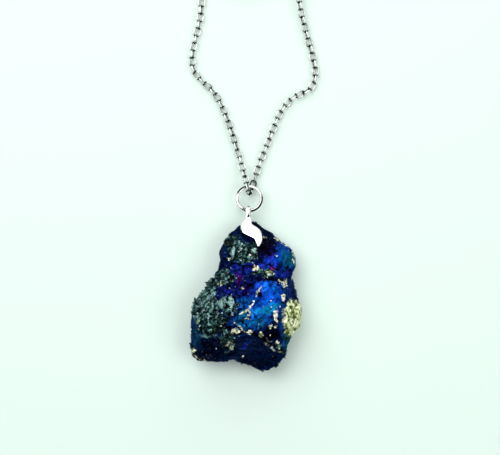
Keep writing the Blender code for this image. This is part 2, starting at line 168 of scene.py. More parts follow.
# Stone: how fine its surface is, and how far the small relief stands out.
STONE_GRID = 0.2 * MM
STONE_SOFTENING = 4
STONE_SEED = 11
CRUST_CELLS = ((2.3 * MM, 0.5), (1.1 * MM, 0.4), (0.55 * MM, 0.3))
CRUST_TILT = 0.42
CRUST_STEP = 0.24
CRUST_HEIGHT = 0.1 * MM
CHIP_CELLS = (1.9 * MM, 0.85 * MM)
CHIP_TILT = 0.3
CREASE = 0.16
BLUR_ROUNDS = 18
PALE_CELLS = 0.8 * MM
PALE_HEIGHT = 0.38 * MM
PALE_STEP = 0.15 * MM
GOLD_HEIGHT = 0.12 * MM
VUG_DEPTH = 0.9 * MM
EVEN_RELIEF = 0.35
SIDE_RELIEF = 0.65
SIDE_TILT = (0.75, 0.25)
# The front's tilt and height, from where it starts to where it is whole.
FRONT_TILT = (-0.45, 0.05)
FRONT_HEIGHT = (1.5 * MM, 4.0 * MM)
BAIL_CLEAR = 0.9 * MM
SHARD_KINDS = 16
SHARD_POINTS = 10
TOP_LIMIT = cad_box[1][2] + 0.35 * MM
# How far the places below are moved at random: size of the noise and reach in pixels. Lines move with the
# two finer ones, by a share.
WARPS = ((5.0 * MM, 4.0), (1.8 * MM, 3.4), (0.7 * MM, 2.0))
WARP_SEEDS = (20, 30)
LINE_WARP = 0.5
# Painted shade in the hollows: how deep a hollow is all dark, how much less dark on the pale lump, and how
# dark a vug is.
CAVITY_SHADE_DEPTH = 0.19 * MM
PALE_SHADE_LOSS = 0.7
VUG_SHADE = 0.92
# Painted light and shade by height: how high a ridge is a full tone lighter, and the most that it may be;
# hollows are darker alike.
RIDGE_HEIGHT = 0.6 * MM
RIDGE_LIGHT_LIMIT = 0.4

# Noise with the next seed is read this far away, in sizes of its features.
NOISE_SHIFT = (17.3, 5.1, 9.7)
# Noise over the stone: middle value, reach, size of its features and seed.
BACK_FILM = (0.58, 0.30, 5.0 * MM, 6)
BACK_GLOW = (0.45, 0.35, 3.0 * MM, 7)
BACK_GLOW_LEAST = 0.08
RIPPLE = (0.0, 0.16 * MM, 2.6 * MM, 8)
PALE_TONE = (0.6, 0.5, 1.2 * MM, 43)
CRUST_TONE = (0.5, 0.3, 2.2 * MM, 44)
# Noise that breaks up a kind of ground: size, seed, and the values where the ground starts and is whole.
BACK_CRUST = (6.5 * MM, 5, 0.05, 0.2)
CRUST_HOLES = (1.6 * MM, 9, -0.66, -0.4)
GOLD_BREAKS = (0.9 * MM, 42, -0.35, 0.05)

# Crust on the stone's front: middle pixel, half sizes in pixels, and how light it is.
CRUST_PX = (
    (204, 308, 14, 14, 0.56), (227, 304, 10, 10, 0.64), (213, 323, 15, 11, 0.36),
    (224, 277, 10, 8.5, 0.44), (212.5, 286, 6, 7, 0.32), (231, 242, 9, 7, 0.22),
    (244, 253, 13, 11, 0.42), (227, 338, 7, 12, 0.30), (264, 273.5, 11, 3.2, 0.55),
    (227, 329, 8, 5, 0.24), (207, 296, 10, 6, 0.48), (276.5, 343.5, 6, 3.4, 0.36),
)
CRUST_LIGHT_REST = (0.5,)
CRUST_LIGHT_REST_WEIGHT = 0.01
CRUST_LIGHT_SHARPNESS = 2.5
# Other places on the stone's front: middle pixel and half sizes in pixels.
PALE_PX = ((292.7, 318, 10.4, 18.8),)
EVEN_PX = ((265, 298, 18, 17), (247, 350, 34, 12), (282, 256, 10, 12))
VUG_PX = ((271, 333.5, 6.5, 5.5), (281, 345.5, 2.2, 2.2), (260, 294, 3.4, 2))
# The edges of such places: how many half sizes out they end, and where they are whole.
PLACE_EDGE = (1.12, 0.8)
EVEN_EDGE = (1.2, 0.6)
VUG_EDGE = (1.2, 0.5)

# Broken edges: pixels along the edge, how far the ground on its left stands out, and how far that reaches.
LEDGES_PX = (
    (((288, 354), (275, 348), (262, 338.5), (250, 330.5), (236, 333.5), (226, 330.5),
      (202, 332.5)), 0.7 * MM, 2.0 * MM),
    (((248, 356), (238, 352), (226, 346), (214, 342), (203, 337)), -0.45 * MM, 2.2 * MM),
    (((285, 291), (280, 283), (270, 279.5), (259, 280.5), (250, 285)), 0.55 * MM, 1.5 * MM),
    (((288, 272), (277, 270), (268, 264), (258, 262)), 0.45 * MM, 1.4 * MM),
    (((231, 327), (237.5, 317), (238, 306), (232, 295), (220, 292.5)), 0.55 * MM, 1.6 * MM),
    (((258, 260), (254, 266), (244, 264.5), (234, 262.5)), -0.4 * MM, 1.2 * MM),
)
LEDGE_EDGE = 0.12 * MM
LEDGE_DROP = 0.35

# Tarnish and painted shade: middle pixel, half sizes in pixels, film colour (see FILM_STOPS) and brightness.
TARNISH_AND_SHADE = {
    "bright_face": (268, 296, 12.5, 11.5, 0.60, 0.75),
    "azure_top": (269, 287.5, 8, 4.5, 0.65, 1.05),
    "right_edge": (276, 294, 3.5, 7, 0.62, 1.2),
    "ultramarine": (262, 293, 5, 6, 0.50, 0.75),
    "cyan_corner": (254.5, 310.5, 6, 3.6, 0.72, 0.9),
    "teal_streak": (266, 308.5, 8.5, 4.2, 0.85, 0.7),
    "teal_rise": (274.5, 303, 6, 4.6, 0.83, 0.75),
    "teal_low": (243, 317, 7, 6, 0.80, 0.5),
    "blue_pocket": (244, 302, 8, 8, 0.70, 0.5),
    "indigo_pocket": (246, 288, 7, 6, 0.44, 0.35),
    "indigo_left": (225, 289.5, 11, 4.5, 0.46, 0.42),
    "violet": (244, 268, 10, 7, 0.50, 0.6),
    "magenta": (238.5, 277.5, 4, 6, 0.21, 0.32),
    "violet_shoulder": (271.5, 258.5, 6.5, 5, 0.51, 0.9),
    "indigo_middle": (263, 265.5, 6, 3.5, 0.50, 0.9),
    "shoulder_blue": (280.5, 250, 7, 8, 0.63, 0.6),
    "shoulder_teal": (287.5, 259, 6.5, 9, 0.82, 0.55),
    "violet_right": (283, 273.5, 7, 5, 0.50, 0.85),
    "pink_fleck": (271.5, 267, 2.6, 2.4, 0.08, 1),
    "dark_top": (264, 246, 10, 9, 0.34, 0.03),
    # Painted shade: the band below a ledge.
    "ledge_shadow_band": (262, 280, 18, 3, 0.50, 0.08),
    "lower_blue": (252, 320, 14, 6, 0.74, 0.45),
    "right_column": (281, 320, 4, 12, 0.62, 0.35),
    "left_teal": (196, 332, 7, 13, 0.78, 0.24),
    "corner_teal": (285.5, 340, 5, 8, 0.97, 0.35),
    "rust": (277.5, 343.5, 6.5, 4.5, 0.03, 0.8),
    # Painted shade on the facets facing down, partly the ore's own dark navy, on the rims, under the bail
    # and in the vug.
    "bottom_facet": (252, 352, 40, 17, 0.68, 0.06),
    "bottom_left": (212, 349, 20, 11, 0.66, 0.015),
    "rim_bottom": (250, 364, 26, 4, 0.66, 0.02),
    "rim_top": (274, 233, 16, 5, 0.66, 0.02),
    "rim_left": (224, 238, 9, 10, 0.66, 0.025),
    "bail_shadow": (246, 232, 8, 6, 0.66, 0.02),
    "top_tip": (257, 225, 7, 4, 0.66, 0.01),
    "navy_top": (228, 246, 10, 14, 0.66, 0.06),
    "right_flank": (289, 290, 3.4, 7, 0.66, 0.35),
    "vug": (271, 334, 8, 6.5, 0.50, 0.02),
    "lavender": (247, 344, 2.6, 3, 0.33, 1.3),
    "dark_red": (261.5, 348.5, 4, 2.4, 0.10, 0.3),
}
TARNISH_REST = (0.57, 0.11)
TARNISH_REST_WEIGHT = 0.06
TARNISH_SHARPNESS = 2.2

# The film's colours from thick copper-red, over violet and blue, to thin green.
FILM_STOPS = (
    (0.00, (0.30, 0.065, 0.015)), (0.09, (0.62, 0.16, 0.12)), (0.18, (0.20, 0.008, 0.13)),
    (0.30, (0.075, 0.006, 0.28)), (0.44, (0.018, 0.010, 0.32)), (0.56, (0.003, 0.055, 0.60)),
    (0.65, (0.004, 0.17, 0.98)), (0.75, (0.004, 0.30, 0.78)), (0.86, (0.004, 0.17, 0.24)),
    (1.00, (0.03, 0.14, 0.07)),
)
# Colours of the crust, the pale lump and the gold, from dark to light.
CRUST_STOPS = (
    (0.14, (0.001, 0.005, 0.006)), (0.38, (0.005, 0.030, 0.030)), (0.62, (0.034, 0.115, 0.108)),
    (0.92, (0.26, 0.44, 0.44)),
)
PALE_STOPS = (
    (0.18, (0.03, 0.05, 0.010)), (0.38, (0.20, 0.25, 0.06)), (0.54, (0.62, 0.72, 0.32)),
    (0.78, (0.98, 1.0, 0.76)),
)
GOLD_STOPS = (
    (0.34, (0.02, 0.03, 0.01)), (0.43, (0.30, 0.32, 0.13)), (0.52, (0.82, 0.87, 0.64)),
    (0.62, (1.0, 1.0, 0.94)),
)
OLIVE_TINT = (1.5, 1.4, 0.45)
OLIVE_PATCHES = ((0.56, 0.0), (0.70, 0.6))
SPECKLE_COLOUR = (0.44, 0.48, 0.40)
SPECKLE_SPOTS = ((0.69, 0.0), (0.74, 0.5))
MOTTLE_STOPS = ((0.34, 0.3), (0.5, 0.8), (0.68, 1.4))

# Noise of the materials: size of its features, detail, roughness, stretch and turn.
STREAK_TURN = math.radians(42)
FILM_CLOUDS = (1.3 * MM, 4.0, 0.6, (3.0, 1.0, 1.5), STREAK_TURN)
FILM_STREAKS = (0.75 * MM, 5.0, 0.65, (3.5, 1.0, 1.5), STREAK_TURN)
ORE_FINE = (0.35 * MM, 3.0, 0.7)
ORE_COARSE = (0.6 * MM, 6.0, 0.8)
OLIVE_CLOUDS = (1.5 * MM, 3.0, 0.6)
GOLD_CLOUDS = (0.7 * MM, 3.0, 0.6)
SPECKLES = (0.55 * MM, 2.0, 0.5)
GRAIN_FINE = (0.25 * MM, 3.0, 0.6)
SILVER_RUBBING = (0.5 * MM, 5.0, 0.7, (1.0, 5.0, 1.0))
SILVER_CLOUDS = (1.5 * MM, 3.0)

# Silver: its tint and roughness on the findings and on the chain, and the shade of its duller clouds.
SILVER = ((0.95, 0.95, 0.94), 0.08)
CHAIN_SILVER = ((0.98, 1.0, 0.99), 0.22)
SILVER_DULL = 0.82
# The colour of the painted shade on the chain and the jump ring.
PAINTED_SHADE_COLOUR = (0.012, 0.016, 0.016)
# The colour of the painted shade in and round the bail's hole.
HOLE_SHADE_COLOUR = (0.01, 0.012, 0.012)

# Each kind of small crystal: its colours from dark to light, how metallic and how rough it is.
GRAIN_FINISH = {
    "crust_grains": ((
        (0.10, (0.001, 0.005, 0.007)), (0.32, (0.005, 0.028, 0.028)), (0.58, (0.032, 0.105, 0.10)),
        (0.82, (0.18, 0.32, 0.31)), (1.00, (0.60, 0.76, 0.78)),
    ), 0.6, 0.12),
    "pale_grains": ((
        (0.10, (0.08, 0.10, 0.02)), (0.42, (0.34, 0.40, 0.13)), (0.68, (0.74, 0.82, 0.42)),
        (1.00, (1.0, 1.0, 0.82)),
    ), 0.0, 0.35),
    "gold_grains": ((
        (0.05, (0.03, 0.04, 0.008)), (0.34, (0.26, 0.30, 0.07)), (0.60, (0.74, 0.82, 0.46)),
        (0.88, (1.0, 1.0, 0.90)),
    ), 0.2, 0.2),
    # Glints are white crystals that paint highlights.
    "glints": (((0.0, (0.75, 0.85, 0.85)), (1.0, (1.0, 1.0, 1.0))), 0.0, 0.05),
}
# How the crystals of a whole zone lie: spacing, the share that is kept, sizes and how they are spread, how
# deep they sit, how far their tone follows the crust's, its noise (as above) and its random spread.
GRAIN_COVER = {
    "crust_grains": {
        "spacing": 0.34 * MM, "keep": 0.8, "least": 0.11 * MM, "growth": 0.46 * MM, "spread": (1.0, 3.0),
        "sunk": 0.05 * MM, "light": 1.0, "tone": (0.03, 0.7, 2.0 * MM, 40), "tone_spread": 0.28,
    },
    "pale_grains": {
        "spacing": 0.55 * MM, "keep": 0.35, "least": 0.18 * MM, "growth": 0.5 * MM, "spread": (1.3, 2.4),
        "sunk": 0.12 * MM, "light": 0.0, "tone": (0.62, 0.6, 1.1 * MM, 41), "tone_spread": 0.12,
    },
}
GRAIN_PRESS = (0.4, 1.35)
# Grains lie above a height, and crust grains keep this share of the room round the bail.
GRAIN_FLOOR = 1.0 * MM
GRAIN_BAIL_ROOM = 0.95
SCATTER_LIMITS = (0.1, 0.9)
GOLD_SIZES = (0.15 * MM, 0.5 * MM)
GOLD_TONES = (2.8, 1.3)
GLINT_SIZES = (0.2 * MM, 0.36 * MM)

# Cream and gold patches: middle pixel, half sizes in pixels and how many grains.
GOLD_PX = (
    (284.5, 283, 2.2, 4.2, 14), (283, 296.5, 1.8, 3.4, 10), (275.4, 314, 1.9, 6.4, 20),
    (236, 330, 4.8, 2.2, 14), (249.5, 330, 3, 1.5, 8), (261, 333, 2.4, 2.6, 9),
    (255.5, 267.5, 3.2, 2.8, 14), (243, 287.5, 1.6, 1.4, 3), (194.5, 350, 2, 2.4, 7),
    (220.5, 284, 3, 2, 6), (229, 258, 1.6, 1.4, 4), (265.5, 237.5, 2, 1.2, 4),
    (230, 344, 3.4, 5, 9), (277, 341.5, 2, 1.6, 4), (268.5, 272, 3, 2.2, 7),
    (270.4, 325.4, 1.6, 1.6, 5), (275.6, 325.2, 1.3, 1.7, 4),
)
# Veins: the pixels along them, and below how wide they are, their grains' size and how these are strewn.
VEINS_PX = (
    ((261, 286.5), (257.5, 290), (255.5, 294.5)),
    ((254, 300.5), (251.5, 303.5), (249, 308), (245, 310), (241, 312)),
    ((249, 309), (248.6, 313), (246.5, 318.5)),
    ((235, 320), (240, 326), (244, 329.5), (248, 329)),
    ((292, 251), (294, 257), (294, 263)),
    ((277, 279), (281, 284), (285, 289)),
)
DIM_VEINS_PX = (
    ((262.5, 337), (266, 341), (271, 346), (276.5, 349.5), (283.5, 351.2)),
    ((266, 337.5), (272, 341.5), (279, 344)),
)
RIM_VEINS_PX = (
    ((190.5, 347), (193, 354), (201, 359.5), (212, 361.5)),
    ((275, 238), (281, 242.5), (287, 247)),
)
VEIN_EDGE_PX = (0.95, 0.3)
DIM_VEIN_SHARE = 0.55
VEIN_GRAINS = ((VEINS_PX, 0.2 * MM), (RIM_VEINS_PX, 0.15 * MM))
VEIN_GRAIN_SPREAD = (0.6, 1.5)
VEIN_STEPS = 12
VEIN_SPACING_PX = 1.4
VEIN_JITTER_PX = 0.6
# Painted highlights: small white crystals at these pixels, where glints are.
GLINTS_PX = (
    (238.6, 251.5), (241.8, 248.5), (249.8, 255), (231, 267.5), (232.2, 293.5), (270.5, 299.5),
    (271, 306), (270, 334), (277, 256), (274.8, 255), (230, 287.5), (216, 297),
    (222, 324), (279.5, 305.5), (258.5, 322.5), (271.5, 323), (216.5, 347.5), (247, 343),
    (243, 355.5), (235.5, 286),
)


def on_table(px, py):
    """The place under a pixel of the photograph, in metres."""
    return (px - ORIGIN_PX[0]) * PIXEL, (ORIGIN_PX[1] - py) * PIXEL


def pixels_over(co):
    """The pixel of the photograph over each point."""
    return co[:, 0] / PIXEL + ORIGIN_PX[0], ORIGIN_PX[1] - co[:, 1] / PIXEL


def smooth_curve(points, count):
    """Catmull-Rom curve through the points, with a count of steps in each span."""
    points = [Vector(point) for point in points]
    ends = [2 * points[0] - points[1], *points, 2 * points[-1] - points[-2]]
    curve = []
    for before, start, end, after in zip(ends, ends[1:], ends[2:], ends[3:]):
        for step in range(count):
            t = step / count
            bend = 2 * before - 5 * start + 4 * end - after
            turn = 3 * (start - end) + after - before
            curve.append(start + 0.5 * t * ((end - before) + t * (bend + t * turn)))
    return curve + [points[-1]]


def line_length(line):
    return sum((b - a).length for a, b in zip(line, line[1:]))


def even_points(line, spacing):
    """Points along a line at even distances, each with the line's direction there."""
    points = np.array([tuple(p) for p in line])
    lengths = np.linalg.norm(np.diff(points, axis=0), axis=1)
    along = np.concatenate([[0], np.cumsum(lengths)])
    places = np.arange(spacing / 2, along[-1], spacing)

    def sample(at):
        return np.stack([np.interp(at, along, points[:, axis]) for axis in range(3)], axis=1)

    ahead = sample(np.minimum(places + spacing / 2, along[-1]))
    behind = sample(np.maximum(places - spacing / 2, 0))
    tangents = ahead - behind
    tangents /= np.linalg.norm(tangents, axis=1, keepdims=True)
    return sample(places), tangents


def steps(values, start, end):
    """0 before start, 1 past end, smooth between; start may lie above end."""
    share = np.clip((values - start) / (end - start), 0, 1)
    return share * share * (3 - 2 * share)


def new_object(name, mesh, *materials):
    obj = bpy.data.objects.new(name, mesh)
    bpy.context.scene.collection.objects.link(obj)
    for material in materials:
        mesh.materials.append(material)
    return obj


def mesh_from(name, verts, faces, smooth=True):
    mesh = bpy.data.meshes.new(name)
    mesh.from_pydata(np.asarray(verts).tolist(), [], np.asarray(faces).tolist())
    mesh.polygons.foreach_set("use_smooth", [smooth] * len(mesh.polygons))
    mesh.update()
    return mesh


def mesh_of(bm, name):
    """A new mesh from a bmesh, which is freed."""
    mesh = bpy.data.meshes.new(name)
    bm.to_mesh(mesh)
    bm.free()
    return mesh


def modified_mesh(obj):
    """An object's mesh with its modifiers applied."""
    return bpy.data.meshes.new_from_object(obj.evaluated_get(bpy.context.evaluated_depsgraph_get()))


def set_attribute(mesh, name, values):
    """A number for each point of a mesh, which its material reads by name."""
    mesh.attributes.new(name, "FLOAT", "POINT").data.foreach_set("value", np.asarray(values, np.float32))


def loops_to_faces(rows, sides, closed):
    """Quads between rows of points that each go once round."""
    faces = []
    for row in range(rows if closed else rows - 1):
        following = (row + 1) % rows
        for side in range(sides):
            beside = (side + 1) % sides
            faces.append((
                row * sides + side, row * sides + beside,
                following * sides + beside, following * sides + side,
            ))
    return faces


# Materials

def add_node(tree, kind, inputs=None, **settings):
    """A node with its settings, its inputs linked or set."""
    node = tree.nodes.new(kind)
    for name, value in settings.items():
        setattr(node, name, value)
    for key, value in (inputs or {}).items():
        if isinstance(value, bpy.types.NodeSocket):
            tree.links.new(value, node.inputs[key])
        else:
            node.inputs[key].default_value = value
    return node


def attribute(tree, name):
    return add_node(tree, "ShaderNodeAttribute", attribute_name=name).outputs["Fac"]


def noise_value(tree, size, detail=3.0, roughness=0.55, stretch=(1, 1, 1), turn=0.0):
    """Noise from 0 to 1 with features of a size in metres, drawn out along turned axes."""
    coordinates = add_node(tree, "ShaderNodeTexCoord").outputs["Object"]
    scaled = add_node(tree, "ShaderNodeMapping", {
        "Vector": coordinates, "Rotation": (0, 0, turn), "Scale": stretch,
    }, vector_type="TEXTURE").outputs["Vector"]
    return add_node(tree, "ShaderNodeTexNoise", {
        "Vector": scaled, "Scale": 1 / size, "Detail": detail, "Roughness": roughness,
    }).outputs["Fac"]


def calculate(tree, operation, first, second=0.5, third=0.0, clamp=False):
    return add_node(
        tree, "ShaderNodeMath", {0: first, 1: second, 2: third}, operation=operation, use_clamp=clamp,
    ).outputs[0]


def ramp(tree, factor, stops):
    """Colours along a factor: each stop is a place and a colour or a grey level."""
    node = add_node(tree, "ShaderNodeValToRGB", {"Fac": factor})
    elements = node.color_ramp.elements
    while len(elements) < len(stops):
        elements.new(0.5)
    for element, (place, colour) in zip(elements, stops):
        element.position = place
        rgb = colour if isinstance(colour, tuple) else (colour, colour, colour)
        element.color = (*rgb, 1.0)
    return node.outputs["Color"]


def mix(tree, factor, first, second, blend="MIX"):
    """Two colours mixed, each a socket or plain red, green and blue."""
    sockets = {0: factor}
    for index, colour in ((6, first), (7, second)):
        sockets[index] = (*colour, 1.0) if isinstance(colour, tuple) else colour
    return add_node(tree, "ShaderNodeMix", sockets, data_type="RGBA", blend_type=blend).outputs[2]


def new_material(name):
    material = bpy.data.materials.new(name)
    material.use_nodes = True
    return material, material.node_tree, material.node_tree.nodes["Principled BSDF"]


def set_shader(tree, shader, **inputs):
    """Links or sets the shader's sockets, named with underscores."""
    for key, value in inputs.items():
        socket = shader.inputs[key.replace("_", " ")]
        if isinstance(value, bpy.types.NodeSocket):
            tree.links.new(value, socket)
        else:
            socket.default_value = value


def bump(tree, height, distance, strength=0.6):
    return add_node(
        tree, "ShaderNodeBump", {"Height": height, "Distance": distance, "Strength": strength},
    ).outputs["Normal"]


def grey(tree, value):
    """A number as a grey colour."""
    return add_node(tree, "ShaderNodeCombineXYZ", {0: value, 1: value, 2: value}).outputs[0]


def moved(tree, value, waves, reach):
    """A value moved up and down about itself by noise from 0 to 1."""
    return calculate(tree, "MULTIPLY_ADD", waves, reach, calculate(tree, "SUBTRACT", value, reach / 2))


def rough_tone(tree, contrast, least, waves, reach):
    """The tone that is kept at each point, moved by noise."""
    tone = calculate(tree, "MULTIPLY_ADD", attribute(tree, "tone"), contrast, least)
    return moved(tree, tone, waves, reach)


def tarnish_colour(tree, fine):
    """The film's colours by its thickness, streaked and scaled by its brightness with its painted shade,
    with pale speckles.
    """
    film = moved(tree, attribute(tree, "film"), noise_value(tree, *FILM_CLOUDS), 0.34)
    colour = ramp(tree, moved(tree, film, fine, 0.10), FILM_STOPS)
    mottle = ramp(tree, noise_value(tree, *FILM_STREAKS), MOTTLE_STOPS)
    for shade in (mottle, grey(tree, attribute(tree, "brightness_and_shade"))):
        colour = mix(tree, 1.0, colour, shade, "MULTIPLY")
    return mix(tree, ramp(tree, noise_value(tree, *SPECKLES), SPECKLE_SPOTS), colour, SPECKLE_COLOUR)


def crust_colour(tree, grit):
    """Grey-green crust with olive patches."""
    plain = ramp(tree, grit, CRUST_STOPS)
    olive = mix(tree, 1.0, plain, OLIVE_TINT, "MULTIPLY")
    return mix(tree, ramp(tree, noise_value(tree, *OLIVE_CLOUDS), OLIVE_PATCHES), plain, olive)


def ore_material():
    """Iridescent tarnish over dark ore, with the crust's, the gold's and the pale lump's ground on it."""
    material, tree, shader = new_material("peacock_ore")
    fine = noise_value(tree, *ORE_FINE)
    grit = rough_tone(tree, 0.95, -0.01, noise_value(tree, *ORE_COARSE), 1.3)
    colour = tarnish_colour(tree, fine)
    for ground, its_colour in (
        ("crust", crust_colour(tree, grit)),
        ("gold", ramp(tree, noise_value(tree, *GOLD_CLOUDS), GOLD_STOPS)),
        ("pale", ramp(tree, grit, PALE_STOPS)),
    ):
        colour = mix(tree, attribute(tree, ground), colour, its_colour)
    # Painted shade darkens the colour in the hollows and the vugs.
    unshaded_share = calculate(tree, "SUBTRACT", 1.0, attribute(tree, "cavity_shade"), clamp=True)
    dull = calculate(tree, "MULTIPLY_ADD", attribute(tree, "crust"), 0.3, attribute(tree, "pale"))
    set_shader(
        tree, shader, Base_Color=mix(tree, 1.0, colour, grey(tree, unshaded_share), "MULTIPLY"),
        Metallic=calculate(tree, "MULTIPLY_ADD", dull, -0.8, 0.85),
        Roughness=calculate(tree, "MULTIPLY_ADD", fine, 0.3, 0.25), Specular_IOR_Level=0.25,
        Specular_Tint=(0.35, 0.42, 0.6, 1.0), Normal=bump(tree, fine, 0.08 * MM),
    )
    return material


def grain_material(name):
    """Small crystals, each of its own tone."""
    stops, metallic, roughness = GRAIN_FINISH[name]
    material, tree, shader = new_material(name)
    fine = noise_value(tree, *GRAIN_FINE)
    colour = ramp(tree, rough_tone(tree, 0.85, 0.07, fine, 0.3), stops)
    set_shader(
        tree, shader, Base_Color=colour, Metallic=metallic,
        Roughness=calculate(tree, "MULTIPLY_ADD", fine, 0.3, roughness), Normal=bump(tree, fine, 0.03 * MM),
    )
    return material


def near_place(tree, place, radius):
    """1 round a place, seen from above, and 0 from a little more than a radius away."""
    object_place = add_node(tree, "ShaderNodeTexCoord").outputs["Object"]
    flat = add_node(tree, "ShaderNodeVectorMath", {0: object_place, 1: (1, 1, 0)}, operation="MULTIPLY")
    away = add_node(tree, "ShaderNodeVectorMath", {0: flat.outputs[0], 1: (*place, 0)}, operation="DISTANCE")
    share = calculate(tree, "MULTIPLY", away.outputs["Value"], 0.5 / radius)
    return ramp(tree, share, ((0.35, 1.0), (0.6, 0.0)))


def silver_material(name, tint, roughness, hole=None):
    """Polished silver with fine rubbing marks, darkened where its painted shade is and by painted shade
    round a small hole.
    """
    material, tree, shader = new_material(name)
    rubbed = noise_value(tree, *SILVER_RUBBING)
    clouds = ramp(tree, noise_value(tree, *SILVER_CLOUDS), ((0.4, 0.0), (0.75, 1.0)))
    colour = mix(tree, clouds, tint, tuple(channel * SILVER_DULL for channel in tint))
    colour = mix(tree, attribute(tree, "painted_shade"), colour, PAINTED_SHADE_COLOUR)
    # Painted shade in and round the bail's hole.
    if hole:
        colour = mix(tree, near_place(tree, hole, BAIL_HOLE_RADII[1]), colour, HOLE_SHADE_COLOUR)
    set_shader(
        tree, shader, Base_Color=colour, Metallic=1.0,
        Roughness=calculate(tree, "MULTIPLY_ADD", rubbed, 0.12, roughness),
        Normal=bump(tree, rubbed, 0.01 * MM, 0.25),
    )
    return material


# Camera, light and floor

def place_camera():
    """A camera straight above the photograph's middle, with one pixel 0.26 mm wide at the stone's rim."""
    camera = bpy.data.objects.new("camera", bpy.data.cameras.new("camera"))
    bpy.context.scene.collection.objects.link(camera)
    camera.location = (*on_table(PHOTO_WIDTH / 2, PHOTO_HEIGHT / 2), CAMERA_HEIGHT)
    camera.data.sensor_fit = "HORIZONTAL"
    camera.data.sensor_width = SENSOR
    camera.data.lens = SENSOR * (CAMERA_HEIGHT - FOCUS_HEIGHT) / (PHOTO_WIDTH * PIXEL)
    camera.data.clip_start = 10 * MM
    bpy.context.scene.camera = camera


def add_lamp(name, size, power, place):
    """A soft lamp that faces the origin."""
    light = bpy.data.lights.new(name, "AREA")
    light.shape = "RECTANGLE"
    light.size, light.size_y = size
    light.energy = power
    lamp = bpy.data.objects.new(name, light)
    bpy.context.scene.collection.objects.link(lamp)
    lamp.location = place
    lamp.rotation_euler = (-Vector(place)).to_track_quat("-Z", "Y").to_euler()


def light_stage():
    """A pale studio: bright overhead, dark towards the horizon, with three soft lamps."""
    scene = bpy.context.scene
    scene.view_settings.view_transform = "Standard"
    scene.world = bpy.data.worlds.new("studio")
    scene.world.use_nodes = True
    tree = scene.world.node_tree
    direction = add_node(tree, "ShaderNodeTexCoord").outputs["Generated"]
    height = add_node(tree, "ShaderNodeSeparateXYZ", {0: direction}).outputs[2]
    set_shader(tree, tree.nodes["Background"], Color=ramp(tree, height, SKY_STOPS), Strength=SKY_STRENGTH)
    for name, lamp in LAMPS.items():
        add_lamp(name, *lamp)


def make_floor():
    bm = bmesh.new()
    bmesh.ops.create_grid(bm, x_segments=1, y_segments=1, size=FLOOR_REACH)
    material, tree, shader = new_material("floor")
    set_shader(tree, shader, Base_Color=FLOOR_COLOUR, Roughness=0.9, Specular_IOR_Level=0.1)
    new_object("floor", mesh_of(bm, "floor"), material)


# Chain

def link_template():
    """One oval link about the origin, long along X and wide along Y, and how much painted shade each point
    of it has.
    """
    turns = np.linspace(0, 2 * math.pi, LINK_STEPS, endpoint=False)
    half_length = LINK_LENGTH / 2 - LINK_WIRE
    half_width = LINK_WIDTH / 2 - LINK_WIRE
    cosines, sines = np.cos(turns), np.sin(turns)
    centre = np.stack([
        half_length * np.sign(cosines) * np.abs(cosines) ** LINK_SQUARENESS,
        half_width * np.sign(sines) * np.abs(sines) ** LINK_SQUARENESS,
        np.zeros(LINK_STEPS),
    ], axis=1)
    along = np.roll(centre, -1, axis=0) - np.roll(centre, 1, axis=0)
    along /= np.linalg.norm(along, axis=1, keepdims=True)
    up = np.array([0.0, 0.0, 1.0])
    out = np.cross(along, up)
    around = np.linspace(0, 2 * math.pi, LINK_SIDES, endpoint=False)
    ring = np.cos(around)[None, :, None] * out[:, None, :] + np.sin(around)[None, :, None] * up
    verts = (centre[:, None, :] + LINK_WIRE * ring).reshape(-1, 3)
    # Painted shade and dark reflection at the link's ends, where links meet, and along its inner side.
    at_end = np.clip((np.abs(cosines) - LINK_END_START) * LINK_END_GROWTH, 0, 1)[:, None]
    inward = -np.cos(around)[None, :]
    end_painted_shade = at_end * np.clip(inward + LINK_END_ROUND, 0, 1)
    painted_shade = np.maximum(end_painted_shade, np.clip(inward + LINK_SIDE_ROUND, 0, 1))
    return verts, np.array(loops_to_faces(LINK_STEPS, LINK_SIDES, closed=True)), painted_shade.reshape(-1)


def make_chain(name, centres, tangents, ring_place, material, rng):
    """Oval links along a line, each turned a quarter from the last, with painted shade where they hang on
    the ring.
    """
    template, template_faces, template_painted_shade = link_template()
    verts, faces = [], []
    for index, (centre, tangent) in enumerate(zip(centres, tangents)):
        forward = Vector(tangent)
        side = Vector((0, 0, 1)).cross(forward)
        if side.length < UPRIGHT:
            side = Vector((1, 0, 0)).cross(forward)
        side.normalize()
        random_roll = rng.uniform(-LINK_ROLL_SPREAD, LINK_ROLL_SPREAD)
        roll = math.radians(90 * (index % 2) + LINK_ROLL + random_roll)
        across = Matrix.Rotation(roll, 3, forward) @ side
        axes = np.array([forward, across, forward.cross(across)])
        verts.append(template @ axes + centre)
        faces.append(template_faces + index * len(template))
    mesh = mesh_from(name, np.concatenate(verts), np.concatenate(faces))
    # Painted shade all over the links near the ring.
    at_ring = steps(np.linalg.norm(centres - ring_place, axis=1), *RING_SHADE_REACH)
    set_attribute(mesh, "painted_shade", np.maximum.outer(at_ring, template_painted_shade).reshape(-1))
    return new_object(name, mesh, material)


def spiral(start_angle, direction, turns, inner_turns, end_radius, height, end_height):
    """One layer of the wound chain from its outside in, with its tail to the clasp or its ring."""
    line = []
    count = int(COIL_STEPS * (turns + inner_turns))
    for step in range(count + 1):
        turn = (turns + inner_turns) * step / count
        radius = COIL_RADIUS - COIL_PITCH * min(turn, turns)
        share = max(turn - turns, 0) / inner_turns
        radius += (end_radius - radius) * share
        angle = start_angle + direction * 2 * math.pi * turn
        x = COIL_CENTRE[0] + radius * math.cos(angle)
        y = COIL_CENTRE[1] + radius * math.sin(angle)
        line.append((x, y, height + (end_height - height) * share))
    return line


def ring_heights():
    """Height of the jump ring's wire in the bail's eye, and where it lies on the chain."""
    return BAIL_EYE_HEIGHT, RIGHT_STRAND[0][2] * MM + CHAIN_WIDTH / 2 + CHAIN_ROOM + RING_WIRE


